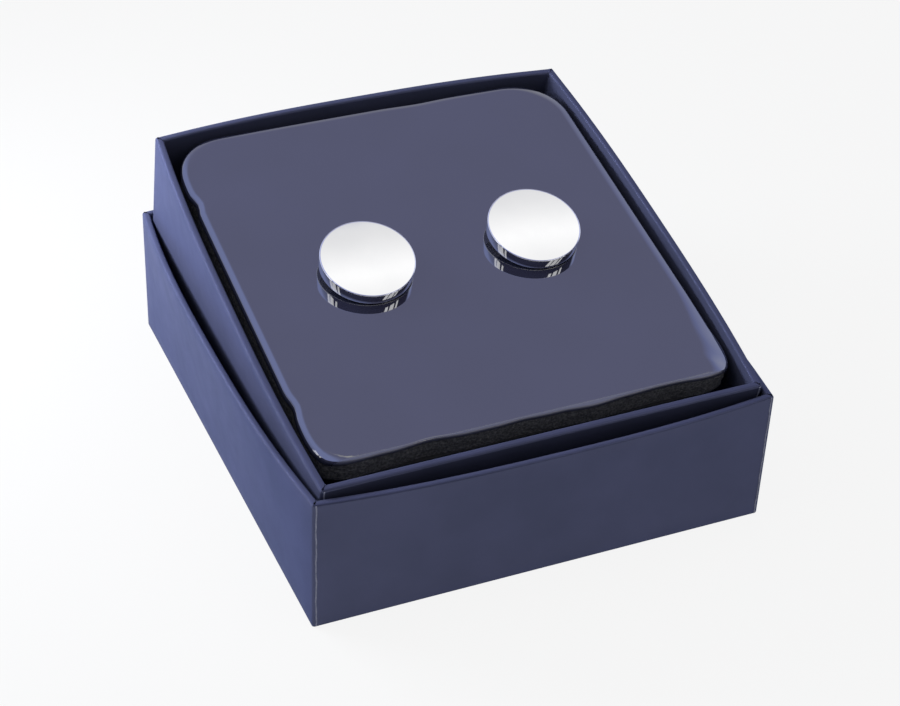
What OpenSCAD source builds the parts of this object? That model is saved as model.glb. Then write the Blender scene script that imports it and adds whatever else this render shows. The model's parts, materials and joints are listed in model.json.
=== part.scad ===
// Presentation box for a pair of cufflinks, shown open.
// The lid lies upside down on the table and the tray is wedged in it,
// tipped up at the back. A foam pad with a gloss film top stands in the
// tray on a card riser, and holds two cufflinks in two slots.
// Frame: millimetres, +Z up, origin at the middle of the lid's lowest face,
// the front of the tray towards -Y.

/* [Lid] */
// Outside width of the lid at its base
lid_w = 84; // [70:0.5:110]
// Outside depth of the lid at its base
lid_d = 94; // [76:0.1:120]
// Outside height of the lid
lid_h = 25.9; // [24:0.1:36]
// How far the front and back walls bow out at the rim
lid_bow_y = 2.2; // [0:0.1:4]
// How far the side walls bow out at the rim
lid_bow_x = 2.5; // [0:0.1:4]
// Thickness of the lid's greyboard
lid_board_t = 0.8; // [0.8:0.05:1.6]

/* [Tray] */
// Outside height of the tray
tray_h = 23.2; // [23:0.1:30]
// Thickness of the tray's greyboard
tray_board_t = 0.9; // [0.8:0.05:1.6]
// How far the tray's side walls bow out at the rim
tray_bow_x = 1.5; // [0:0.1:1.8]
// How far the tray's back wall bows out at the rim
tray_bow_back = 1.8; // [0:0.1:2.2]
// Angle at which the tray is tipped up at the back
tray_tilt = 12.2; // [6:0.1:16]
// Angle by which the tray sits askew in the lid
tray_yaw = 0.4; // [0:0.1:1.5]
// Height of the tray's front rim above the lid's rim
tray_rise = 1.2; // [0.5:0.1:4]

/* [Paper] */
// Thickness of the gloss laminated wrap paper
paper_t = 0.15; // [0.1:0.01:0.3]
// Thickness of the gummed tape that joins the board's corners
stay_t = 0.1; // [0.05:0.01:0.2]
// Length of each leg of a corner tape
stay_leg = 11; // [6:1:16]
// Depth of the wrap's turn-in below the rim, inside the walls
turn_in = 14; // [8:1:18]

/* [Pad] */
// Corner radius of the pad
pad_r = 10; // [6:0.5:14]
// Thickness of the gloss film
film_t = 0.3; // [0.2:0.05:0.5]
// Thickness of the foam under the film
foam_t = 4.2; // [3:0.1:4.4]
// Thickness of the card under the foam
backing_t = 0.8; // [0.5:0.1:1.2]
// Radius of the film's edge, where it turns down over the foam
edge_r = 1.3; // [0.8:0.1:2]
// Depth of the pad's top face below the tray's rim
pad_drop = 1.0; // [0.4:0.1:3]
// Gap between the front of the pad and the tray's front wall, for a finger
pad_front_gap = 4.2; // [2:0.1:14]
// Gap between the pad and the tray's right wall
pad_right_gap = 0.4; // [0.2:0.1:5]
// Gap between the back of the pad and the tray's back wall
pad_back_gap = 0.4; // [0.2:0.1:5]
// Gap between the pad and the tray's left wall
pad_left_gap = 0.4; // [0.2:0.1:5]
// Thickness of the riser's card
riser_t = 1.0; // [0.8:0.1:2]
// Distance of the riser's walls inside the pad's edge
riser_inset = 3.0; // [1.5:0.5:8]

/* [Cufflinks] */
// Diameter of a cufflink's face
face_dia = 17; // [15:0.5:20]
// Thickness of a cufflink's face
face_t = 2.2; // [1.5:0.1:3]
// Distance between the two cufflinks
cufflink_pitch = 32.1; // [26:0.1:38]
// Distance of the pair's middle to the right of the pad's middle
pair_x = 1; // [-3:0.1:3]
// Distance of the pair's middle behind the pad's middle
pair_y = 0; // [-4:0.1:4]
// Angle by which a cufflink leans forward in its slot
lean = 6.5; // [0:0.5:8]
// Distance from the back of the face to the toggle's pivot
pivot_drop = 13.5; // [13:0.1:14]
// Length of the toggle
toggle_l = 14.6; // [12:0.2:14.8]
// Diameter of the toggle
toggle_dia = 4.8; // [4:0.1:5.4]
// Thickness of each arm of the post
arm_t = 1.0; // [0.8:0.1:1.4]
// Width of each arm of the post
arm_w = 3.2; // [2.4:0.1:4]
// Radius of the toggle's pin
pin_r = 0.6; // [0.4:0.05:0.8]

/* [Clearances] */
// Gap between the tray's front rim and the lid's front wall
front_gap = 0.2; // [0.1:0.05:1]
// Gap between the tray's lower back edge and the lid's back wall
back_gap = 0.3; // [0.1:0.05:1]
// Gap between the tray's corners and the lid's side walls
side_gap = 0.1; // [0.1:0.05:1]
// Gap under a piece that rests on a piece it is not glued to
rest_gap = 0.1; // [0.05:0.05:0.2]
// Gap round the post and toggle in the pad's slot
slot_gap = 0.5; // [0.4:0.05:0.8]
// Gap between the toggle and each arm
arm_gap = 0.15; // [0.1:0.05:0.3]
// Radial running clearance of the toggle on its pin
pin_gap = 0.05; // [0.02:0.01:0.1]

/* [Hidden] */
$fn = 64;

// How a box is described: [width, depth, height, bows, board thickness],
// with the bows of the front, right, back and left walls at the rim.
lid_box = [lid_w, lid_d, lid_h, [lid_bow_y, lid_bow_x, lid_bow_y, lid_bow_x], lid_board_t];

corner_r = 0.9;      // outside radius of a folded upright corner
corner_min_r = 0.3;  // least radius of a corner's inner layers
corner_steps = 3;    // facets of one corner
side_steps = 8;      // facets of one wall
roll_steps = 4;      // facets of the paper rolled over a rim
bow_power = 2.6;     // how squarely a wall bows along its length
rise_power = 1.3;    // how a wall's bow grows with height

// Depth of the board's faces and of the turn-in below the outer surface
function board_outer(b) = paper_t + stay_t;
function board_inner(b) = board_outer(b) + b[4];
function wall_t(b) = board_inner(b) + paper_t;
// Heights of the board's floor and of its rim
function floor_z(b) = paper_t + b[4];
function liner_z(b) = floor_z(b) + paper_t;
roll_h = 0.6;        // height of the rounded rim
rim_cover = 0.45;    // paper over the board's rim, glue and fold together
function board_top(b) = b[2] - rim_cover;

lid_in_w = lid_w - 2 * wall_t(lid_box);
lid_in_d = lid_d - 2 * wall_t(lid_box);
tray_w = lid_in_w - 2 * side_gap - lid_in_d * sin(tray_yaw);
// The tray's depth is the one that wedges between the lid's walls at its tilt
tray_d = (lid_in_d - front_gap - back_gap - tray_h * sin(tray_tilt)
  - tray_w * sin(tray_yaw)) / cos(tray_tilt);
tray_box = [tray_w, tray_d, tray_h, [0, tray_bow_x, tray_bow_back, tray_bow_x], tray_board_t];
tray_wall = wall_t(tray_box);

// Place of the middle of the tray's front rim edge
tray_x = lid_in_d * sin(tray_yaw) / 2;
tray_y = -lid_in_d / 2 + front_gap + tray_w / 2 * sin(tray_yaw);
tray_z = max(lid_h + tray_rise, liner_z(lid_box) + rest_gap + tray_h * cos(tray_tilt));

// The pad fills the tray's hollow but for its four gaps
pad_w = tray_w - 2 * tray_wall - pad_left_gap - pad_right_gap;
pad_d = tray_d - 2 * tray_wall - pad_front_gap - pad_back_gap;
// Its middle in the tray, and the heights of its layers
pad_x = (pad_left_gap - pad_right_gap) / 2;
pad_y = (pad_front_gap - pad_back_gap) / 2;
pad_top = tray_h - pad_drop;
foam_top = pad_top - film_t;
backing_top = foam_top - foam_t;
backing_bottom = backing_top - backing_t;
pad_steps = 7;       // facets of one corner of the pad
edge_steps = 3;      // facets of the film's turned edge
film_lip = 0.5;      // how far the film reaches straight down below its turned edge

// The cufflinks: slot, arms, toggle
arm_y = toggle_dia / 2 + arm_gap;
post_w = 2 * (arm_y + arm_t);
slot_w = toggle_dia + 2 * slot_gap;
// The slot's round ends clear the corners of the arms, leaning as they do
slot_end = slot_w / 2 - sqrt(pow(slot_w / 2, 2) - pow(arm_w / 2, 2));
slot_lean = (pad_top - backing_bottom) * tan(lean);
slot_l = post_w + 2 * (slot_gap + slot_end + slot_lean);
face_bevel = 0.25;   // bevel round a face's edges
flange_r = toggle_dia / 2;  // flange that joins the post to the face
flange_t = 0.8;
crotch_gap = 0.4;    // room between the toggle's end and the post's crotch
arm_end_r = arm_w / 2;

// ---------- outlines and shells ----------

// Share of a wall's bow at s, from -1 to 1 along the wall
function along(s) = 1 - pow(abs(s), bow_power);
// Share of a wall's bow at a height
function rise(b, z) = pow(max(z, 0) / b[2], rise_power);

function arc(x, y, r, a, steps) =
  [for (k = [0:steps]) [x + r * cos(a + 90 * k / steps), y + r * sin(a + 90 * k / steps)]];
function inner_s(n) = [for (k = [1:n - 1]) -1 + 2 * k / n];

// One closed level of a box's wall, depth in below its outer surface
function level(b, depth, z) =
  let (
    r = max(corner_r - depth, corner_min_r),
    x = b[0] / 2 - depth,
    y = b[1] / 2 - depth,
    bow = b[3] * rise(b, z),
    s = inner_s(side_steps),
    flat = concat(
      [for (t = s) [(x - r) * t, -y - bow[0] * along(t)]],
      arc(x - r, r - y, r, -90, corner_steps),
      [for (t = s) [x + bow[1] * along(t), (y - r) * t]],
      arc(x - r, y - r, r, 0, corner_steps),
      [for (t = s) [(r - x) * t, y + bow[2] * along(t)]],
      arc(r - x, y - r, r, 90, corner_steps),
      [for (t = s) [-x - bow[3] * along(t), (r - y) * t]],
      arc(r - x, r - y, r, 180, corner_steps)
    )
  )
  [for (p = flat) [p.x, p.y, z]];

// One level of the pad, inset from its outline
function pad_level(inset, z) =
  let (r = pad_r - inset, x = pad_w / 2 - inset, y = pad_d / 2 - inset)
  [for (p = concat(
      arc(x - r, r - y, r, -90, pad_steps), arc(x - r, y - r, r, 0, pad_steps),
      arc(r - x, y - r, r, 90, pad_steps), arc(r - x, r - y, r, 180, pad_steps)
    )) [p.x, p.y, z]];

// The two triangles between neighbours on two levels. The diagonal is the
// same whichever way the levels run, so pieces that touch share their facets.
function quad(a, b, c, d, up) = up ? [[a, c, b], [b, c, d]] : [[a, c, d], [a, d, b]];

// A solid through closed levels round the Z axis, capped at the first and the
// last by a fan of facets from the middle
module loft(levels) {
  n = len(levels[0]);
  m = len(levels);
  first = n * m;
  last = first + 1;
  polyhedron(
    [for (l = levels) each l, [0, 0, levels[0][0].z], [0, 0, levels[m - 1][0].z]],
    [for (i = [0:n - 1])
      let (k = (i + 1) % n)
      each concat(
        [[i, k, first]],
        [for (j = [0:m - 2])
          let (up = levels[j + 1][0].z >= levels[j][0].z)
          each quad(j * n + i, j * n + k, (j + 1) * n + i, (j + 1) * n + k, up)],
        [[(m - 1) * n + k, (m - 1) * n + i, last]]
      )]
  );
}

// Heights at which a box's walls have a level, from a foot up to a top
function heights(b, foot, top) =
  let (fold = b[2] - turn_in) [foot, fold, (fold + top) / 2, top];
function reversed(v) = [for (i = [len(v) - 1:-1:0]) v[i]];

// Greyboard blank folded up into a floor and four walls
module box_board(b) {
  top = board_top(b);
  loft(concat(
    [for (z = heights(b, paper_t, top)) level(b, board_outer(b), z)],
    [for (z = reversed(heights(b, floor_z(b), top))) level(b, board_inner(b), z)]
  ));
}

// Wrap paper: under the floor, up the walls, over the rim and down inside
module box_wrap(b) {
  half = wall_t(b) / 2;
  roll_z = b[2] - roll_h;
  top = board_top(b);
  fold = b[2] - turn_in;
  loft(concat(
    [for (z = heights(b, 0, roll_z)) level(b, 0, z)],
    [for (k = [1:roll_steps - 1])
      level(b, half - half * cos(180 * k / roll_steps), roll_z + roll_h * sin(180 * k / roll_steps))],
    [for (z = [roll_z, (fold + roll_z) / 2, fold]) level(b, wall_t(b), z)],
    [for (z = [fold, (fold + top) / 2, top]) level(b, board_inner(b), z)],
    [for (z = reversed(heights(b, paper_t, top))) level(b, paper_t, z)]
  ));
}

// Gummed tape folded round each upright corner of the board
module box_stays(b) {
  foot = paper_t;
  top = board_top(b);
  intersection() {
    difference() {
      loft([for (z = heights(b, foot, top)) level(b, paper_t, z)]);
      loft([for (z = heights(b, foot, top)) level(b, board_outer(b), z)]);
    }
    for (sx = [-1, 1], sy = [-1, 1])
      translate([sx * b[0] / 2, sy * b[1] / 2, b[2] / 2])
        cube([2 * stay_leg, 2 * stay_leg, b[2]], center = true);
  }
}

// Sheet of paper that lines the floor between the walls
module box_liner(b) {
  play = 0.1;
  side = board_inner(b) + play;
  translate([0, 0, floor_z(b) + paper_t / 2])
    cube([b[0] - 2 * side, b[1] - 2 * side, paper_t], center = true);
}

// ---------- places ----------

// The tray's frame: tipped and askew in the lid, centred on its floor
module in_lid() {
  translate([tray_x, tray_y, tray_z])
    rotate([0, 0, tray_yaw])
      rotate([tray_tilt, 0, 0])
        translate([0, tray_d / 2, -tray_h])
          children();
}

module in_tray() {
  in_lid() translate([pad_x, pad_y, 0]) children();
}

// The frame of a cufflink, at the middle of its face's back: side -1 or 1.
// The front edge of the leaning face rests on the film.
module in_pad(side) {
  in_tray()
    translate([pair_x + side * cufflink_pitch / 2, pair_y, pad_top + rest_gap])
      translate([0, -face_dia / 2, 0])
        rotate([lean, 0, 0])
          translate([0, face_dia / 2, 0])
            children();
}

// ---------- pad ----------

module slot_cut() {
  straight = slot_l - slot_w;
  for (side = [-1, 1])
    translate([pair_x + side * cufflink_pitch / 2, pair_y, -1])
      linear_extrude(tray_h + 2) {
        square([slot_w, straight], center = true);
        for (end = [-1, 1])
          translate([0, end * straight / 2])
            circle(d = slot_w);
      }
}

// Levels of the pad's rounded top edge, outer surface, from low to high
function edge_levels(inset, top, r) =
  [for (k = [0:edge_steps])
    let (a = 90 * k / edge_steps)
    pad_level(inset + r - r * cos(a), top - r + r * sin(a))];

module film_solid() {
  outer = edge_levels(0, pad_top, edge_r);
  inner = edge_levels(film_t, foam_top, edge_r - film_t);
  lip_z = pad_top - edge_r - film_lip;
  loft(concat(
    reversed(inner),
    [pad_level(film_t, lip_z), pad_level(0, lip_z)],
    outer
  ));
}

module foam_solid() {
  lip_z = pad_top - edge_r - film_lip;
  loft(concat(
    [pad_level(0, backing_top), pad_level(0, lip_z), pad_level(film_t, lip_z)],
    edge_levels(film_t, foam_top, edge_r - film_t)
  ));
}

// ---------- sub-parts ----------

module lid_board() {
  color("#8d8a84") box_board(lid_box);
}

module lid_corner_stays() {
  color("#b9a27c") box_stays(lid_box);
}

module lid_wrap() {
  color("#343a66") box_wrap(lid_box);
}

module lid_liner() {
  color("#2a2e52") box_liner(lid_box);
}

module tray_board() {
  color("#8d8a84") in_lid() box_board(tray_box);
}

module tray_corner_stays() {
  color("#b9a27c") in_lid() box_stays(tray_box);
}

module tray_wrap() {
  color("#343a66") in_lid() box_wrap(tray_box);
}

module tray_liner() {
  color("#2a2e52") in_lid() box_liner(tray_box);
}

// Folded card collar that stands on the tray's floor and carries the pad
module riser_frame() {
  outer_w = pad_w - 2 * riser_inset;
  outer_d = pad_d - 2 * riser_inset;
  foot = liner_z(tray_box);
  height = backing_bottom - rest_gap - foot;
  color("#77736c")
    in_tray()
      translate([0, 0, foot])
        difference() {
          translate([0, 0, height / 2])
            cube([outer_w, outer_d, height], center = true);
          translate([0, 0, height / 2])
            cube([outer_w - 2 * riser_t, outer_d - 2 * riser_t, height + 2], center = true);
        }
}

module pad_backing() {
  color("#6f6c66")
    in_tray()
      difference() {
        translate([0, 0, backing_bottom])
          linear_extrude(backing_t)
            pad_outline();
        slot_cut();
      }
}

module pad_outline() {
  square([pad_w - 2 * pad_r, pad_d], center = true);
  square([pad_w, pad_d - 2 * pad_r], center = true);
  for (sx = [-1, 1], sy = [-1, 1])
    translate([sx * (pad_w / 2 - pad_r), sy * (pad_d / 2 - pad_r)])
      circle(r = pad_r);
}

module pad_foam() {
  color("#2c2b2d")
    in_tray()
      difference() {
        foam_solid();
        slot_cut();
      }
}

module pad_film() {
  color("#54567a")
    in_tray()
      difference() {
        film_solid();
        slot_cut();
      }
}

// Round face of a cufflink, bevelled at both edges
module face(side) {
  r = face_dia / 2;
  color("#e8e8ec")
    in_pad(side)
      rotate_extrude()
        polygon([
          [0, 0], [r - face_bevel, 0], [r, face_bevel],
          [r, face_t - face_bevel], [r - face_bevel, face_t], [0, face_t]
        ]);
}

// Post: a flange under the face, a stem and two arms with rounded ends
module post(side) {
  crotch = pivot_drop - toggle_l / 2 - crotch_gap;
  color("#d4d4d8")
    in_pad(side)
      difference() {
        union() {
          translate([0, 0, -flange_t])
            cylinder(r = flange_r, h = flange_t);
          translate([-arm_w / 2, -post_w / 2, -pivot_drop])
            cube([arm_w, post_w, pivot_drop - flange_t]);
          translate([0, post_w / 2, -pivot_drop])
            rotate([90, 0, 0])
              cylinder(r = arm_end_r, h = post_w);
        }
        translate([-arm_w, -arm_y, -pivot_drop - 2 * arm_w])
          cube([2 * arm_w, 2 * arm_y, pivot_drop + 2 * arm_w - crotch]);
        translate([0, post_w, -pivot_drop])
          rotate([90, 0, 0])
            cylinder(r = pin_r, h = 2 * post_w);
      }
}

module pin(side) {
  color("#c0c0c4")
    in_pad(side)
      translate([0, post_w / 2, -pivot_drop])
        rotate([90, 0, 0])
          cylinder(r = pin_r, h = post_w);
}

// Toggle: a bullet with domed ends that turns on the pin
module toggle(side) {
  r = toggle_dia / 2;
  straight = toggle_l / 2 - r;
  color("#dcdce0")
    in_pad(side)
      translate([0, 0, -pivot_drop])
        difference() {
          union() {
            translate([0, 0, -straight])
              cylinder(r = r, h = 2 * straight);
            for (end = [-1, 1])
              translate([0, 0, end * straight])
                sphere(r = r);
          }
          translate([0, toggle_dia, 0])
            rotate([90, 0, 0])
              cylinder(r = pin_r + pin_gap, h = 2 * toggle_dia);
        }
}

module left_face() { face(-1); }
module left_post() { post(-1); }
module left_pin() { pin(-1); }
module left_toggle() { toggle(-1); }
module right_face() { face(1); }
module right_post() { post(1); }
module right_pin() { pin(1); }
module right_toggle() { toggle(1); }

lid_board();
lid_corner_stays();
lid_wrap();
lid_liner();
tray_board();
tray_corner_stays();
tray_wrap();
tray_liner();
riser_frame();
pad_backing();
pad_foam();
pad_film();
left_face();
left_post();
left_pin();
left_toggle();
right_face();
right_post();
right_pin();
right_toggle();
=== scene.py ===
"""Looks of a presentation box for cufflinks, shown open: the tray stands askew in its upturned lid.

Each section makes one piece, or a few like pieces, in the order in which the box is put together.
Lengths are written in millimetres times mm, so that they can be read beside the CAD source.
"""
import json
import math

import bmesh
import bpy
from mathutils import Matrix, Vector


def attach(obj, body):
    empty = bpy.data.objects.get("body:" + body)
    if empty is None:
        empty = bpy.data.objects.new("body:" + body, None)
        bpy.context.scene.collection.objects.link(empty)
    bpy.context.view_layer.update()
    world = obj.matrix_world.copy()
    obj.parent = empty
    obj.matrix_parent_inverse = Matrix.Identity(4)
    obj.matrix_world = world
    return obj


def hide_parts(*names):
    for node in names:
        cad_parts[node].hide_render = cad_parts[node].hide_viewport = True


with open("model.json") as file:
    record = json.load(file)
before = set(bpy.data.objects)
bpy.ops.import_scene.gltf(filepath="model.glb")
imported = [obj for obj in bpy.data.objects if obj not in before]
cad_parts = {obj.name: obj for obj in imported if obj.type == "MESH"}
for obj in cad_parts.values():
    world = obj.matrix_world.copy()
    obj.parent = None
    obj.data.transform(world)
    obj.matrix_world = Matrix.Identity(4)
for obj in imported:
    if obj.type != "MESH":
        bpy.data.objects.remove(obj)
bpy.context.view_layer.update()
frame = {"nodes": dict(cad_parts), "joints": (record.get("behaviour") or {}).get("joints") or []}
mm = 0.001

# ---------------------------------------------------------------- camera
# The photograph's view: from the left of the front, 35 degrees above the
# table and leaning slightly, through a long lens close to the box.
camera_azimuth = math.radians(-24.654)
camera_elevation = math.radians(35.246)
camera_lean = math.radians(2.568)
camera_focal, image_width = 2126.6, 900         # pixels
sensor_width = 36                               # millimetres
camera_offset = Vector((-2.496, -11.348, -398.686)) * mm

back = Vector((
    math.sin(camera_azimuth) * math.cos(camera_elevation),
    -math.cos(camera_azimuth) * math.cos(camera_elevation),
    math.sin(camera_elevation),
))
right = Vector((0, 0, 1)).cross(back).normalized()
up = back.cross(right)
turned = Matrix.Rotation(-camera_lean, 3, "Z") @ Matrix((right, up, back))
bpy.ops.object.camera_add(location=-(turned.transposed() @ camera_offset))
camera = bpy.context.active_object
camera.rotation_euler = turned.transposed().to_euler()
camera.data.sensor_width = sensor_width
camera.data.lens = sensor_width * camera_focal / image_width
camera.data.clip_start = 20 * mm
bpy.context.scene.camera = camera

# ---------------------------------------------------------------- lid, turned over
# The lid of a set-up box: greyboard folded up and taped at its corners,
# wrapped in gloss laminated navy paper that rolls over the rim and is
# turned in. Its walls bow outwards, because the tray is jammed in it.
lid_size = (84 * mm, 94 * mm, 25.9 * mm)
lid_wall = 1.23 * mm
lid_bows = {"front": 2.2 * mm, "right": 2.5 * mm, "back": 2.2 * mm, "left": 2.5 * mm}
paper_thickness = 0.15 * mm
paper_corner, inner_corner, board_corner = 0.5 * mm, 0.3 * mm, 0.9 * mm
foot_roll, rim_roll = 0.35 * mm, 0.5 * mm
turn_in_depth = 14 * mm
bow_power, rise_power = 2.6, 1.3
corner_margin, wall_margin = 1.5 * mm, 0.05 * mm
side_cuts, height_cuts = 25, 9

edge_width, edge_thickness, edge_end = 0.24 * mm, 0.10 * mm, 0.25 * mm
edge_inset, edge_reach = 0.62 * mm, 1 * mm
edge_cuts = 23
edge_waves = ((0.05 * mm, 0.9, 1), (0.03 * mm, 2.3, 2))     # size, pace, and turns of the seed
box_corners = (
    ("front_left", -1, -1), ("front_right", 1, -1), ("back_left", -1, 1), ("back_right", 1, 1),
)

near = 0.01 * mm                            # places closer than this are the same
flat, nearly_flat, steep = 0.99, 0.9, 0.1   # the upward share of a face's normal


def leave_edit():
    bpy.ops.object.mode_set(mode="OBJECT")


def deselect():
    if bpy.context.object and bpy.context.object.mode != "OBJECT":
        leave_edit()
    bpy.ops.object.select_all(action="DESELECT")


def only(piece):
    deselect()
    piece.select_set(True)
    bpy.context.view_layer.objects.active = piece


def start(name, add, **place):
    """Adds a primitive and names it."""
    deselect()
    add(**place)
    piece = bpy.context.active_object
    piece.name = piece.data.name = name
    return piece


def settle(piece):
    """Puts the piece's place, turn and scale into its mesh."""
    only(piece)
    bpy.ops.object.transform_apply(location=True, rotation=True, scale=True)


def smooth(piece, degrees):
    """Shades smoothly over edges that turn by less than an angle."""
    only(piece)
    bpy.ops.object.shade_smooth_by_angle(angle=math.radians(degrees))


def pick(piece, kind, test):
    """Selects the faces, edges or points that pass a test, in edit mode."""
    only(piece)
    bpy.ops.object.mode_set(mode="EDIT")
    bpy.ops.mesh.select_mode(type=kind)
    bpy.ops.mesh.select_all(action="DESELECT")
    mesh = bmesh.from_edit_mesh(piece.data)
    for part in {"VERT": mesh.verts, "EDGE": mesh.edges, "FACE": mesh.faces}[kind]:
        if test(part):
            part.select_set(True)
    mesh.select_flush_mode()
    bmesh.update_edit_mesh(piece.data)


def drop(edge):
    """How far apart in height an edge's two ends are."""
    return abs(edge.verts[0].co.z - edge.verts[1].co.z)


def cut(piece, axis, places):
    """Cuts the mesh by planes across one axis, so that it can be shaped there."""
    pick(piece, "FACE", lambda face: True)
    normal = [0, 0, 0]
    normal[axis] = 1
    for place in places:
        at = [0, 0, 0]
        at[axis] = place
        bpy.ops.mesh.select_all(action="SELECT")
        bpy.ops.mesh.bisect(plane_co=at, plane_no=normal)
    leave_edit()


def apply_all(piece):
    only(piece)
    for modifier in list(piece.modifiers):
        bpy.ops.object.modifier_apply(modifier=modifier.name)


def thicken(piece, thickness):
    """Makes a sheet as thick as it is, inwards from its outer face."""
    sheet = piece.modifiers.new("sheet", "SOLIDIFY")
    sheet.thickness, sheet.offset = thickness, -1
    apply_all(piece)


def spread(low, high, count):
    """Evenly spaced places between two ends, without the ends."""
    return [low + (high - low) * (i + 1) / (count + 1) for i in range(count)]


def push(piece, axis, distance, share):
    """Moves every point along one axis by its own share of a distance."""
    group = piece.vertex_groups.new(name="share")
    for point in piece.data.vertices:
        group.add([point.index], share(point.co), "REPLACE")
    move = piece.modifiers.new("push", "DISPLACE")
    move.direction = axis
    move.mid_level = 0
    move.strength = distance
    move.vertex_group = "share"
    apply_all(piece)
    piece.vertex_groups.clear()


def bow_walls(piece, size, reach, bows):
    """Pushes each wall out, most at the middle of its rim."""
    half = (size[0] / 2, size[1] / 2)
    for name, axis, way in (("front", 1, -1), ("right", 0, 1), ("back", 1, 1), ("left", 0, -1)):
        def bowed(at):
            if at[axis] * way < half[axis] - reach:
                return 0
            inwards = half[axis] - at[axis] * way
            end = half[1 - axis] - inwards - max(board_corner - inwards, inner_corner)
            along = 1 - min(1, abs(at[1 - axis]) / end) ** bow_power
            return along * max(0, at.z / size[2]) ** rise_power

        if bows[name]:
            push(piece, "XY"[axis], bows[name] * way, bowed)


def wrapped_box(name, size, wall, bows):
    """Wrap paper folded round a box: floor, walls, rolled rim and turn-in."""
    width, depth, height = size
    wrap = start(name, bpy.ops.mesh.primitive_cube_add, size=1, location=(0, 0, height / 2))
    wrap.scale = size
    settle(wrap)
    pick(wrap, "FACE", lambda f: f.normal.z > nearly_flat)
    bpy.ops.mesh.inset(thickness=wall)
    bpy.ops.mesh.extrude_region_move(TRANSFORM_OT_translate={"value": (0, 0, -turn_in_depth)})
    bpy.ops.mesh.delete(type="FACE")
    for side, corner in ((width / 2, paper_corner), (width / 2 - wall, inner_corner)):
        pick(wrap, "EDGE", lambda e: drop(e) > turn_in_depth / 2
             and abs(abs(e.verts[0].co.x) - side) < near)
        bpy.ops.mesh.bevel(offset=corner, segments=4, affect="EDGES")
    pick(wrap, "EDGE", lambda e: all(v.co.z < near for v in e.verts))
    bpy.ops.mesh.bevel(offset=foot_roll, segments=3, affect="EDGES")
    pick(wrap, "EDGE", lambda e: all(v.co.z > height - near for v in e.verts)
         and any(abs(f.normal.z) < steep for f in e.link_faces))
    bpy.ops.mesh.bevel(offset=rim_roll, segments=5, affect="EDGES")
    for axis, length in ((0, width), (1, depth)):
        end = length / 2 - corner_margin
        cut(wrap, axis, spread(-end, end, side_cuts))
    cut(wrap, 2, spread(0, height, height_cuts))
    bow_walls(wrap, size, wall + wall_margin, bows)
    thicken(wrap, paper_thickness)
    smooth(wrap, 35)
    return wrap


def raw_edges(box, size, bows, seeds):
    """The cut edges of the wrap's end panels, each a thin wavy line beside a corner."""
    width, depth, height = size
    for (corner, x_side, y_side), seed in zip(box_corners, seeds):
        place = (x_side * (width / 2 - edge_inset), y_side * depth / 2, height / 2)
        edge = start("%s_raw_edge_%s" % (box, corner), bpy.ops.mesh.primitive_cube_add, size=1,
                     location=place)
        edge.scale = (edge_width, edge_thickness, height - 2 * edge_end)
        settle(edge)
        levels = spread(edge_end, height - edge_end, edge_cuts)
        cut(edge, 2, levels)
        for i, level in enumerate(levels):
            pick(edge, "VERT", lambda v: abs(v.co.z - level) < near)
            sway = sum(wave * math.sin(pace * i + turns * seed) for wave, pace, turns in edge_waves)
            bpy.ops.transform.translate(value=(sway, 0, 0))
        leave_edit()
        bow_walls(edge, size, edge_reach, bows)
        smooth(edge, 35)
        yield edge


class Finish:
    """A material's shader, with patterns that read the object's own coordinates."""

    def __init__(self, name, **values):
        self.material = bpy.data.materials.new(name)
        self.material.use_nodes = True
        self.nodes = self.material.node_tree.nodes
        self.links = self.material.node_tree.links
        self.shader = self.nodes["Principled BSDF"]
        self.place = self.nodes.new("ShaderNodeTexCoord").outputs["Object"]
        self.relief = None
        for socket, value in values.items():
            self.shader.inputs[socket.replace("_", " ")].default_value = value

    def noise(self, size, detail, stretch=(1, 1, 1)):
        turn = self.nodes.new("ShaderNodeMapping")
        turn.inputs["Scale"].default_value = stretch
        self.links.new(self.place, turn.inputs["Vector"])
        pattern = self.nodes.new("ShaderNodeTexNoise")
        pattern.inputs["Scale"].default_value = 1 / size
        pattern.inputs["Detail"].default_value = detail
        self.links.new(turn.outputs["Vector"], pattern.inputs["Vector"])
        return pattern.outputs["Fac"]

    def between(self, pattern, low, high, from_low=0.3, from_high=0.7):
        """A value that goes from low to high as a pattern does."""
        step = self.nodes.new("ShaderNodeMapRange")
        for socket, value in (("From Min", from_low), ("From Max", from_high),
                              ("To Min", low), ("To Max", high)):
            step.inputs[socket].default_value = value
        self.links.new(pattern, step.inputs["Value"])
        return step.outputs["Result"]

    def colours(self, pattern, *stops):
        """A base colour between two stops, each a pattern's value and its colour."""
        ramp = self.nodes.new("ShaderNodeValToRGB")
        for stop, (position, colour) in zip(ramp.color_ramp.elements, stops):
            stop.position, stop.color = position, (*colour, 1)
        self.links.new(pattern, ramp.inputs["Fac"])
        self.links.new(ramp.outputs["Color"], self.shader.inputs["Base Color"])

    def roughness(self, value):
        self.links.new(value, self.shader.inputs["Roughness"])

    def bump(self, pattern, distance, strength=1.0):
        """Adds a relief to the ones before it."""
        relief = self.nodes.new("ShaderNodeBump")
        relief.inputs["Distance"].default_value = distance
        relief.inputs["Strength"].default_value = strength
        self.links.new(pattern, relief.inputs["Height"])
        if self.relief:
            self.links.new(self.relief, relief.inputs["Normal"])
        self.relief = relief.outputs["Normal"]
        self.links.new(self.relief, self.shader.inputs["Normal"])

    def on(self, *pieces):
        for piece in pieces:
            piece.data.materials.clear()
            piece.data.materials.append(self.material)


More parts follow.
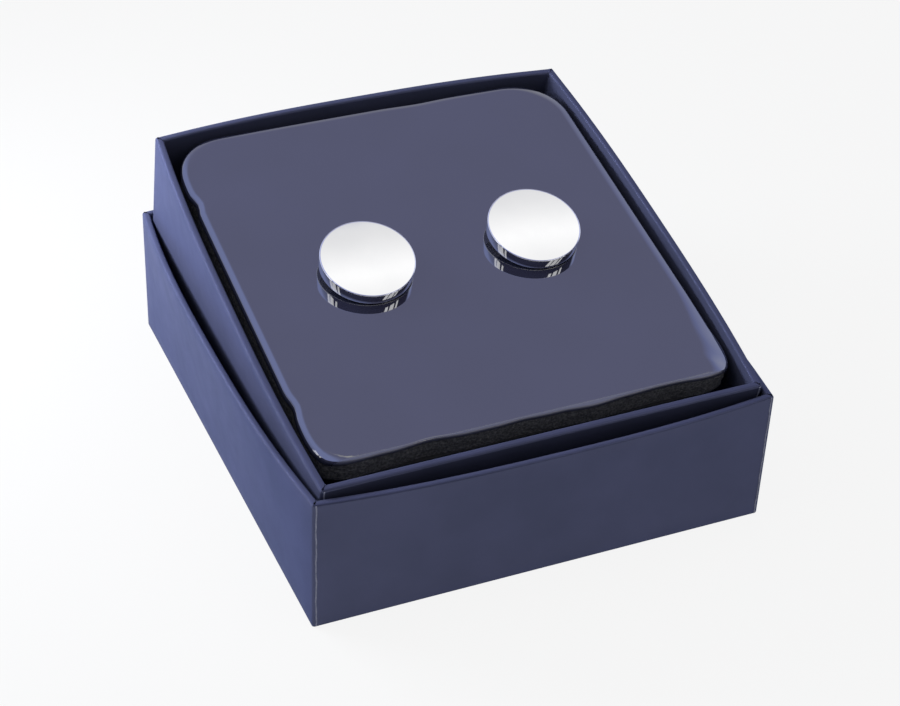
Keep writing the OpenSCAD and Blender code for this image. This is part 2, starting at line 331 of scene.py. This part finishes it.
# The wrap: navy pearl paper under a satin laminate, dark where it faces the
# viewer and blue at a glance, with faint fibres and the glue's slow waves.
pearl_paper = Finish("navy_pearl_paper", Metallic=0.45, Specular_IOR_Level=0.0,
                     Specular_Tint=(0.39, 0.44, 0.63, 1))
pearl_paper.colours(pearl_paper.noise(9 * mm, 4),
                    (0.32, (0.076, 0.083, 0.144)), (0.68, (0.084, 0.091, 0.160)))
pearl_paper.roughness(pearl_paper.between(pearl_paper.noise(4 * mm, 3), 0.28, 0.34))
pearl_paper.bump(pearl_paper.noise(30 * mm, 1), 0.05 * mm, 0.5)
pearl_paper.bump(pearl_paper.noise(0.5 * mm, 2), 0.002 * mm, 0.5)

cut_paper = Finish("cut_paper_edge", Roughness=0.6)
cut_paper.colours(cut_paper.noise(0.8 * mm, 3),
                  (0.3, (0.16, 0.17, 0.25)), (0.7, (0.34, 0.35, 0.45)))
cut_paper.bump(cut_paper.noise(0.2 * mm, 2), 0.02 * mm)

lid_wrap = wrapped_box("lid_paper_wrap", lid_size, lid_wall, lid_bows)
pearl_paper.on(lid_wrap)
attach(lid_wrap, "lid")
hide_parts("lid_wrap")

for seam in raw_edges("lid", lid_size, lid_bows, (1, 4, 7, 9)):
    cut_paper.on(seam)
    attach(seam, "lid")

# Board, corner tapes and floor paper are the CAD's own solids.
greyboard = Finish("greyboard", Roughness=0.9)
greyboard.colours(greyboard.noise(0.9 * mm, 5),
                  (0.3, (0.30, 0.285, 0.26)), (0.7, (0.47, 0.45, 0.42)))
greyboard.bump(greyboard.noise(0.3 * mm, 4), 0.05 * mm)
gummed_tape = Finish("gummed_tape", Roughness=0.7)
gummed_tape.colours(gummed_tape.noise(1.2 * mm, 4, (1, 1, 4)),
                    (0.3, (0.42, 0.31, 0.19)), (0.7, (0.58, 0.46, 0.31)))
gummed_tape.bump(gummed_tape.noise(0.25 * mm, 3), 0.02 * mm)
greyboard.on(frame["nodes"]["lid_board"])
gummed_tape.on(frame["nodes"]["lid_corner_stays"])
pearl_paper.on(frame["nodes"]["lid_liner"])

# ---------------------------------------------------------------- tray
# The tray is a shallower box of the same board and paper. It stands on its
# lower front edge, tipped up at the back and a little askew, held by the
# spring of the lid's walls.
tray_size = (80.7605 * mm, 87.6121 * mm, 23.2 * mm)
tray_wall = 1.33 * mm
tray_bows = {"front": 0, "right": 1.5 * mm, "back": 1.8 * mm, "left": 1.5 * mm}

joints = {joint["name"]: joint for joint in frame["joints"]}
toggle_axis = Vector(joints["left_toggle_turn"]["axis"])
cufflink_axis = Vector(joints["left_cufflink_pull"]["axis"])
tray_up = Vector(joints["tray_lift"]["axis"]).normalized()
tray_right = toggle_axis.cross(cufflink_axis).normalized()
tray_back = tray_up.cross(tray_right)
tray_front_rim = Vector((0.3197, -45.3181, 27.1)) * mm


def in_tray(point):
    """A place in the tray, from the middle of its underside."""
    x, y, z = point
    return (tray_front_rim + x * tray_right + (y + tray_size[1] / 2) * tray_back
            + (z - tray_size[2]) * tray_up)


tray_place = Matrix((tray_right, tray_back, tray_up)).transposed().to_4x4()
tray_place.translation = in_tray((0, 0, 0))


def stand_in_tray(piece):
    piece.matrix_world = tray_place @ piece.matrix_world
    settle(piece)


tray_wrap = wrapped_box("tray_paper_wrap", tray_size, tray_wall, tray_bows)
stand_in_tray(tray_wrap)
pearl_paper.on(tray_wrap)
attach(tray_wrap, "tray")
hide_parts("tray_wrap")

for seam in raw_edges("tray", tray_size, tray_bows, (2, 5, 8, 3)):
    stand_in_tray(seam)
    cut_paper.on(seam)
    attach(seam, "tray")

greyboard.on(frame["nodes"]["tray_board"])
gummed_tape.on(frame["nodes"]["tray_corner_stays"])
pearl_paper.on(frame["nodes"]["tray_liner"])

# ---------------------------------------------------------------- riser and pad
# A folded card collar stands on the tray's floor and carries the pad: a card
# backing, a slab of black foam and a mirror-gloss film, with a slot for each
# cufflink. The film is pressed over the foam's edge, which sinks there and is dented.
pad_width, pad_depth, pad_corner = 77.3605 * mm, 80.5121 * mm, 10 * mm
pad_middle = (0, 1.9 * mm)
pad_top, film_thickness = 22.2 * mm, 0.3 * mm
foam_bottom, foam_gap = 17.7 * mm, 0.02 * mm
film_roll, film_lip = 0.45 * mm, 0.15 * mm
slot_width, slot_length = 5.8 * mm, 10.4 * mm
pair_middle, pair_pitch = 1.0 * mm, 32.1 * mm
pad_front = pad_middle[1] - pad_depth / 2

black_card = Finish("black_card", Roughness=0.85)
black_card.colours(black_card.noise(0.6 * mm, 4),
                   (0.3, (0.016, 0.016, 0.017)), (0.7, (0.030, 0.030, 0.031)))
black_card.bump(black_card.noise(0.2 * mm, 3), 0.02 * mm)
black_card.on(frame["nodes"]["riser_frame"], frame["nodes"]["pad_backing"])

rings = (0.04, 0.26, 0.3, 0.3, 0.4, 0.4, 0.5, 0.6, 0.8, 0.9, 1.0)   # millimetres apart
edge_dents = (      # place, move and reach in millimetres, from the middle of the tray
    ((-38.7, 26.0), (0.55, 0, 0), 3.0), ((-38.7, 30.0), (-0.25, 0, 0), 6.0),
    ((-38.7, -24.7), (0.55, 0, 0), 3.5), ((-18.9, -38.3), (0, 0.5, 0), 7.0),
    ((10.7, -38.3), (0, -0.4, 0), 6.0), ((24.6, -38.3), (0, 0.3, 0), 8.0),
    ((-2.0, -38.3), (0, 0.2, 0), 5.0), ((10.7, 42.1), (0, -0.25, 0), 8.0),
)
drawn_corners = (   # the front corners are squarer, because the film is drawn out there
    ((35.75, -35.43), (1.6, -1.6, 0), 8.0), ((-35.75, -35.43), (-1.3, -1.5, 0), 8.0),
)
dent_spot = 0.8 * mm
deepest, sink_power = 1.0 * mm, 1.4
edge_sinks = (      # direction of the edge in degrees, how deep it sinks and over what width, in mm
    (-180, 0.60, 1.4), (-135, 0.70, 1.6), (-105, 0.04, 0.8), (-90, 0.0, 0.8),
    (-60, 0.08, 1.2), (-35, 0.32, 2.0), (0, 0.28, 2.0), (45, 0.36, 2.0),
    (90, 0.24, 1.5), (135, 0.36, 1.6), (180, 0.60, 1.4),
)
# The front right corner is softer: it sinks deeper and over a wider band.
soft_corner = Vector((pad_width / 2 - 3 * mm, pad_front + 4.5 * mm))
soft_reach, soft_power = 17 * mm, 1.5
soft_depth, soft_width = 0.45, 2.8
soft_from, soft_full = -62, -42         # degrees, as above


def press(piece, middle, move, reach):
    """Pushes the points near a place, most at its middle."""
    pick(piece, "VERT", lambda v: (v.co.xy - middle).length < dent_spot)
    bpy.ops.transform.translate(value=move, use_proportional_edit=True,
                                proportional_edit_falloff="SMOOTH", proportional_size=reach,
                                use_proportional_connected=True)
    leave_edit()


def sunk(at):
    """How far a point of the pad's top sinks, as a share of the deepest."""
    x, y = at.x, at.y - pad_middle[1]
    past = Vector((abs(x) - (pad_width / 2 - pad_corner), abs(y) - (pad_depth / 2 - pad_corner)))
    if min(past) > 0:
        from_edge = pad_corner - past.length
        facing = math.degrees(math.atan2(math.copysign(past.y, y), math.copysign(past.x, x)))
    else:
        from_edge = pad_corner - max(past)
        facing = math.degrees(math.atan2(0, x) if past.x > past.y else math.atan2(y, 0))
    for (before, deep, wide), (after, next_deep, next_wide) in zip(edge_sinks, edge_sinks[1:]):
        if before <= facing <= after:
            part = (facing - before) / (after - before)
            deep += part * (next_deep - deep)
            wide += part * (next_wide - wide)
            break
    soft = max(0, 1 - (at.xy - soft_corner).length / soft_reach) ** soft_power
    soft *= min(1, max(0, (facing - soft_from) / (soft_full - soft_from)))
    deep += soft_depth * soft
    wide += soft_width * soft
    return min(1, deep * max(0, 1 - max(0, from_edge) / (wide * mm)) ** sink_power)


def slab(name, inset, top, bottom, roll):
    """A rounded slab of the pad's outline, its upper edge rolled over."""
    piece = start(name, bpy.ops.mesh.primitive_plane_add, size=1, location=(*pad_middle, top))
    piece.scale = (pad_width - 2 * inset, pad_depth - 2 * inset, 1)
    settle(piece)
    pick(piece, "VERT", lambda v: True)
    bpy.ops.mesh.bevel(offset=pad_corner - inset, segments=14, affect="VERTICES")
    pick(piece, "EDGE", lambda e: e.calc_length() > 2 * pad_corner)
    bpy.ops.mesh.subdivide(number_cuts=47)
    pick(piece, "FACE", lambda f: True)
    bpy.ops.mesh.extrude_region_move(TRANSFORM_OT_translate={"value": (0, 0, bottom - top)})
    bpy.ops.mesh.select_all(action="SELECT")
    bpy.ops.mesh.normals_make_consistent(inside=False)
    pick(piece, "EDGE", lambda e: all(abs(v.co.z - top) < near for v in e.verts))
    bpy.ops.mesh.bevel(offset=roll, segments=6, affect="EDGES")
    pick(piece, "FACE", lambda f: f.normal.z > flat and f.calc_area() > pad_corner ** 2)
    for ring in rings:
        bpy.ops.mesh.inset(thickness=ring * mm)
    leave_edit()
    push(piece, "Z", -deepest, sunk)
    for place, move, reach in edge_dents + drawn_corners:
        press(piece, Vector(place) * mm, Vector(move) * mm, reach * mm)
    return piece


def combine(piece, tool, operation):
    """Joins a tool to a piece, or cuts it out of it."""
    joined = piece.modifiers.new("combine", "BOOLEAN")
    joined.operation, joined.object, joined.solver = operation, tool, "EXACT"
    apply_all(piece)
    bpy.data.objects.remove(tool)


def cut_slots(piece, depth):
    """Cuts the two slots for the cufflinks' posts."""
    for side in (-1, 1):
        place = (pair_middle + side * pair_pitch / 2, pad_middle[1], pad_top)
        cutter = start("slot_cutter", bpy.ops.mesh.primitive_cube_add, size=1, location=place)
        cutter.scale = (slot_width, slot_length, 2 * depth)
        settle(cutter)
        pick(cutter, "EDGE", lambda e: drop(e) > depth)
        bpy.ops.mesh.bevel(offset=slot_width / 2 - near, segments=8, affect="EDGES")
        leave_edit()
        combine(piece, cutter, "DIFFERENCE")


film = slab("pad_gloss_film", 0, pad_top, pad_top - film_roll - film_lip, film_roll)
pick(film, "FACE", lambda f: f.normal.z < -nearly_flat)
bpy.ops.mesh.delete(type="FACE")
leave_edit()
thicken(film, film_thickness)
cut_slots(film, 4 * mm)
stand_in_tray(film)
smooth(film, 40)

foam = slab("pad_foam_slab", film_thickness + foam_gap, pad_top - film_thickness - foam_gap,
            foam_bottom, film_roll - film_thickness)
cut(foam, 2, spread(foam_bottom, pad_top - film_roll, 5))
foam_side = (foam_bottom + 0.1 * mm, pad_top - film_roll - 1.0 * mm)
pick(foam, "VERT", lambda v: foam_side[0] < v.co.z < foam_side[1])
bpy.ops.transform.vertex_random(offset=0.12 * mm, uniform=1.0, seed=5)
leave_edit()
cut_slots(foam, 8 * mm)
stand_in_tray(foam)
smooth(foam, 60)

gloss_film = Finish("mirror_gloss_film", IOR=3.1)
gloss_film.colours(gloss_film.noise(14 * mm, 2),
                   (0.3, (0.009, 0.010, 0.018)), (0.7, (0.012, 0.013, 0.025)))
# The film is hazy where it is pulled over the front edge, and a mirror behind it.
hazy, mirror = (0.50, 0.5 * mm), (0.03, 0.9 * mm)       # roughness, and how far behind the edge
along = gloss_film.nodes.new("ShaderNodeVectorMath")
along.operation = "DOT_PRODUCT"
along.inputs[1].default_value = tray_back
gloss_film.links.new(gloss_film.place, along.inputs[0])
front_edge = in_tray((0, pad_front, pad_top)).dot(tray_back)
gloss_film.roughness(gloss_film.between(along.outputs["Value"], hazy[0], mirror[0],
                                        front_edge + hazy[1], front_edge + mirror[1]))
gloss_film.bump(gloss_film.noise(30 * mm, 1), 0.08 * mm, 0.3)
gloss_film.on(film)
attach(film, "pad")
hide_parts("pad_film")

black_foam = Finish("black_foam", Roughness=0.95)
black_foam.colours(black_foam.noise(0.45 * mm, 6),
                   (0.40, (0.075, 0.075, 0.076)), (0.68, (0.190, 0.187, 0.182)))
black_foam.bump(black_foam.noise(0.4 * mm, 5), 0.25 * mm)
black_foam.on(foam)
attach(foam, "pad")
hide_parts("pad_foam")

# ---------------------------------------------------------------- cufflinks
# Each cufflink is a polished round face on a post with two arms, between
# which a bullet-shaped toggle turns on a pin. It leans forward in its slot,
# so the front of its face rests on the film.
face_radius, face_thickness, face_bevel = 8.5 * mm, 2.2 * mm, 0.16 * mm
dome_radius, dome_edge = 400 * mm, 0.3 * mm
face_rings = (0.1, 1.0, 1.0, 1.0, 1.0, 1.0, 1.0, 1.0)               # millimetres apart
pivot_drop, toggle_length, toggle_radius = 13.5 * mm, 14.6 * mm, 2.4 * mm
flange_thickness, crotch_gap, post_bevel = 0.8 * mm, 0.4 * mm, 0.12 * mm
arm_gap, arm_thickness, arm_width = 0.15 * mm, 1.0 * mm, 3.2 * mm
pin_radius, pin_gap = 0.6 * mm, 0.05 * mm
nose_steps, nose_tip = 8, 0.05
sideways, upright = (math.pi / 2, 0, 0), (0, 0, 0)

chrome = Finish("polished_chrome", Metallic=1.0)
chrome.colours(chrome.noise(6 * mm, 3), (0.3, (0.92, 0.922, 0.93)), (0.7, (0.95, 0.95, 0.955)))
chrome.roughness(chrome.between(chrome.noise(2 * mm, 5), 0.035, 0.06))
chrome.bump(chrome.noise(20 * mm, 1), 0.01 * mm, 0.3)


def rod(name, radius, length, middle, turn, sides=48):
    """A round bar about its middle on the cufflink's upright."""
    return start(name, bpy.ops.mesh.primitive_cylinder_add, vertices=sides, radius=radius,
                 depth=length, location=(0, 0, middle), rotation=turn)


def block(name, size, middle):
    """A square bar about its middle on the cufflink's upright."""
    bar = start(name, bpy.ops.mesh.primitive_cube_add, size=1, location=(0, 0, middle))
    bar.scale = size
    return bar


def round_face():
    """The face, its edges bevelled and its top very slightly domed."""
    face = rod("face", face_radius, face_thickness, face_thickness / 2, upright, 160)
    settle(face)
    pick(face, "EDGE", lambda e: drop(e) < near)
    bpy.ops.mesh.bevel(offset=face_bevel, segments=4, affect="EDGES")
    pick(face, "FACE", lambda f: abs(f.normal.z) > flat and f.calc_area() > face_radius ** 2)
    for ring in face_rings:
        bpy.ops.mesh.inset(thickness=ring * mm)
    leave_edit()
    top = face_thickness - dome_edge
    push(face, "Z", -face_radius ** 2 / (2 * dome_radius),
         lambda at: at.xy.length_squared / face_radius ** 2 if at.z > top else 0)
    return face


def forked_post():
    """The post: a flange, a stem, and two rounded arms with a bore for the pin."""
    half_gap = toggle_radius + arm_gap
    post_depth = 2 * (half_gap + arm_thickness)
    crotch = pivot_drop - toggle_length / 2 - crotch_gap
    post = block("post", (arm_width, post_depth, pivot_drop - flange_thickness),
                 -(pivot_drop + flange_thickness) / 2)
    settle(post)
    for make, operation, shape in (
        (rod, "UNION", ("ends", arm_width / 2, post_depth, -pivot_drop, sideways)),
        (rod, "UNION", ("flange", toggle_radius, flange_thickness, -flange_thickness / 2, upright)),
        (block, "DIFFERENCE", ("gap", (2 * arm_width, 2 * half_gap, 2 * pivot_drop),
                               -crotch - pivot_drop)),
        (rod, "DIFFERENCE", ("bore", pin_radius, 1.5 * post_depth, -pivot_drop, sideways)),
    ):
        tool = make(*shape)
        settle(tool)
        combine(post, tool, operation)
    soften = post.modifiers.new("soften", "BEVEL")
    soften.width, soften.segments, soften.limit_method = post_bevel, 2, "ANGLE"
    apply_all(post)
    return post


def bullet_toggle():
    """The swivel bar: a straight bar with two round noses, bored for the pin."""
    straight = toggle_length - 2 * toggle_radius
    toggle = rod("toggle", toggle_radius, straight, -pivot_drop, upright, 64)
    settle(toggle)
    for way in (-1, 1):
        nose = -pivot_drop + way * straight / 2
        height = 0
        for k in range(1, nose_steps + 1):
            angle = math.pi / 2 * k / nose_steps
            before = angle - math.pi / 2 / nose_steps
            share = math.cos(angle) / math.cos(before) if k < nose_steps else nose_tip
            rise = toggle_radius * math.sin(angle) - height
            height += rise
            pick(toggle, "FACE", lambda f: f.normal.z * way > flat)
            bpy.ops.mesh.extrude_region_move(TRANSFORM_OT_translate={"value": (0, 0, way * rise)})
            bpy.ops.transform.resize(value=(share, share, 1), center_override=(0, 0, nose))
        leave_edit()
    bore = rod("bore", pin_radius + pin_gap, 4 * toggle_radius, -pivot_drop, sideways)
    settle(bore)
    combine(toggle, bore, "DIFFERENCE")
    return toggle


cufflink_up = cufflink_axis.normalized()
cufflink_back = cufflink_up.cross(tray_right)
patterns = {"face": round_face(), "post": forked_post(), "toggle": bullet_toggle()}
for side in ("left", "right"):
    place = Matrix((tray_right, cufflink_back, cufflink_up)).transposed().to_4x4()
    pivot = Vector(joints[side + "_toggle_turn"]["pos_m"])
    place.translation = pivot + pivot_drop * cufflink_up
    for part, pattern in patterns.items():
        only(pattern)
        bpy.ops.object.duplicate()
        piece = bpy.context.active_object
        piece.name = piece.data.name = "%s_cufflink_%s" % (side, part)
        piece.matrix_world = place
        settle(piece)
        smooth(piece, 25)
        chrome.on(piece)
        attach(piece, side + ("_toggle" if part == "toggle" else "_cufflink"))
        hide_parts("%s_%s" % (side, part))
    chrome.on(frame["nodes"][side + "_pin"])
for pattern in patterns.values():
    bpy.data.objects.remove(pattern)

# ---------------------------------------------------------------- table and light
# A plain white table in a light tent: a soft panel overhead, pale blue
# sides, a dim back, and dark where the camera stands, between two windows.
table_side, table_drop = 6, 0.02 * mm
background_share = 0.90
lamp_aim = Vector((0, 0, 30 * mm))

table = start("table", bpy.ops.mesh.primitive_plane_add, size=table_side,
              location=(0, 0, -table_drop))
surface = Finish("white_table", Roughness=0.9)
surface.shader.inputs["Base Color"].default_value = (0.45, 0.45, 0.45, 1)
surface.material.cycles.emission_sampling = "NONE"
glow = surface.nodes.new("ShaderNodeEmission")
glow.inputs["Color"].default_value = (0.985, 0.985, 0.985, 1)


def rays(tree, *kinds):
    """1 on rays of any of these kinds, 0 on the others."""
    path = tree.nodes.new("ShaderNodeLightPath")
    total = path.outputs["Is %s Ray" % kinds[0]]
    for kind in kinds[1:]:
        either = tree.nodes.new("ShaderNodeMath")
        either.operation = "MAXIMUM"
        tree.links.new(total, either.inputs[0])
        tree.links.new(path.outputs["Is %s Ray" % kind], either.inputs[1])
        total = either.outputs["Value"]
    return total


glow_share = surface.nodes.new("ShaderNodeMath")
glow_share.operation = "MULTIPLY"
glow_share.inputs[1].default_value = background_share
seen = rays(surface.material.node_tree, "Camera", "Glossy", "Transmission")
surface.links.new(seen, glow_share.inputs[0])
blend = surface.nodes.new("ShaderNodeMixShader")
surface.links.new(glow_share.outputs["Value"], blend.inputs["Fac"])
surface.links.new(surface.shader.outputs["BSDF"], blend.inputs[1])
surface.links.new(glow.outputs["Emission"], blend.inputs[2])
surface.links.new(blend.outputs["Shader"], surface.nodes["Material Output"].inputs["Surface"])
surface.on(table)


def soft_lamp(name, toward, distance, size, power, colour=(1, 1, 1), mirrored=False):
    """A flat lamp that faces the box."""
    toward = Vector(toward).normalized()
    bpy.ops.object.light_add(type="AREA", location=lamp_aim + toward * distance)
    lamp = bpy.context.active_object
    lamp.name = name
    lamp.rotation_euler = toward.to_track_quat("Z", "Y").to_euler()
    lamp.data.shape = "RECTANGLE"
    lamp.data.size, lamp.data.size_y = size
    lamp.data.energy = power
    lamp.data.color = colour
    lamp.visible_camera = False
    lamp.visible_glossy = mirrored


def heading(azimuth, elevation):
    azimuth, elevation = math.radians(azimuth), math.radians(elevation)
    return (math.cos(azimuth) * math.cos(elevation), math.sin(azimuth) * math.cos(elevation),
            math.sin(elevation))


soft_lamp("overhead_lamp", (0.30, 0.02, 0.95), 0.9, (0.62, 0.50), 1.0)
soft_lamp("fill_lamp", (-0.55, 0.10, 0.83), 1.0, (0.8, 0.8), 2.2, (0.97, 0.98, 1.0))
soft_lamp("left_lamp", (-0.13, 0.088, 0.066), 0.170, (0.12, 0.05), 0.64, (0.79, 0.84, 0.97))
for i, (azimuth, elevation, width, power) in enumerate((
    (-188, 46, 0.07, 0.10), (-178, 46, 0.10, 0.16), (-166, 46, 0.05, 0.08),
    (-62, 36, 0.08, 0.14), (-50, 36, 0.12, 0.20), (-38, 36, 0.06, 0.10),
)):
    soft_lamp("window_pane_%d" % (i + 1), heading(azimuth, elevation), 0.8, (width, 0.36), power,
              mirrored=True)

world = bpy.data.worlds.new("room")
bpy.context.scene.world = world
world.use_nodes = True
world.cycles.sampling_method = "NONE"
room = world.node_tree


def ramp(value, *stops):
    """Colours that follow a value between -1 and 1, with the stops in rising order."""
    from_zero = room.nodes.new("ShaderNodeMapRange")
    from_zero.inputs["From Min"].default_value = -1
    room.links.new(value, from_zero.inputs["Value"])
    colours = room.nodes.new("ShaderNodeValToRGB")
    elements = colours.color_ramp.elements
    for i, (place, colour) in enumerate(stops):
        position = (place + 1) / 2
        stop = elements[i] if i < 2 else elements.new(position)
        stop.position, stop.color = position, (*colour, 1)
    room.links.new(from_zero.outputs["Result"], colours.inputs["Fac"])
    return colours.outputs["Color"]


def step(value, *stops):
    """A grey level that follows a value between -1 and 1."""
    return ramp(value, *((place, (level, level, level)) for place, level in stops))


def either_of(factor, first, second):
    """A mix of two colours, each a socket or a plain colour."""
    mix = room.nodes.new("ShaderNodeMix")
    mix.data_type = "RGBA"
    room.links.new(factor, mix.inputs["Factor"])
    for socket, colour in ((mix.inputs[6], first), (mix.inputs[7], second)):
        if isinstance(colour, tuple):
            socket.default_value = (*colour, 1)
        else:
            room.links.new(colour, socket)
    return mix.outputs[2]


def product(*values):
    total = values[0]
    for value in values[1:]:
        times = room.nodes.new("ShaderNodeMath")
        times.operation = "MULTIPLY"
        room.links.new(total, times.inputs[0])
        room.links.new(value, times.inputs[1])
        total = times.outputs["Value"]
    return total


outward = room.nodes.new("ShaderNodeSeparateXYZ")
direction = room.nodes.new("ShaderNodeTexCoord").outputs["Generated"]
room.links.new(direction, outward.inputs["Vector"])
to_right, to_back, upward = outward.outputs

white, even_light = (1.0, 1.0, 1.0), (0.32, 0.33, 0.35)
dim, dark, blue = (0.306, 0.318, 0.525), (0.04, 0.04, 0.08), (0.48, 0.56, 1.05)
sides = ramp(
    to_right, (-1.0, (0.15, 0.16, 0.28)), (-0.60, (0.30, 0.34, 0.60)), (-0.42, blue),
    (-0.15, blue), (0.10, dim), (0.50, dim), (0.60, (0.39, 0.44, 0.84)),
    (0.77, (0.64, 0.73, 1.25)), (1.0, (0.60, 0.70, 1.25)),
)
tent = either_of(step(upward, (0.20, 1), (0.68, 0)), sides, white)

camera_side = product(step(to_back, (-0.06, 1), (0.10, 0)), step(upward, (0.76, 1), (0.86, 0)))
tent = either_of(camera_side, tent, dark)

panel = ramp(
    to_back, (-1.0, (0.92, 0.92, 0.93)), (0.235, (0.95, 0.95, 0.95)), (0.270, (1.07, 1.07, 1.07)),
    (0.325, (0.80, 0.80, 0.81)),
)
under_panel = product(
    step(to_back, (0.14, 0), (0.20, 1), (0.342, 1), (0.358, 0)),
    step(to_right, (0.18, 0), (0.24, 1), (0.454, 1), (0.475, 0)),
    step(upward, (0.55, 0), (0.62, 1)),
)
tent = either_of(under_panel, tent, panel)

# Mirrors see the tent, the camera sees white, and everything else gets an even light.
lit = either_of(rays(room, "Glossy"), even_light, tent)
room_colour = either_of(rays(room, "Camera", "Transmission"), lit, white)
room.links.new(room_colour, room.nodes["Background"].inputs["Color"])

bpy.context.scene.view_settings.view_transform = "Standard"
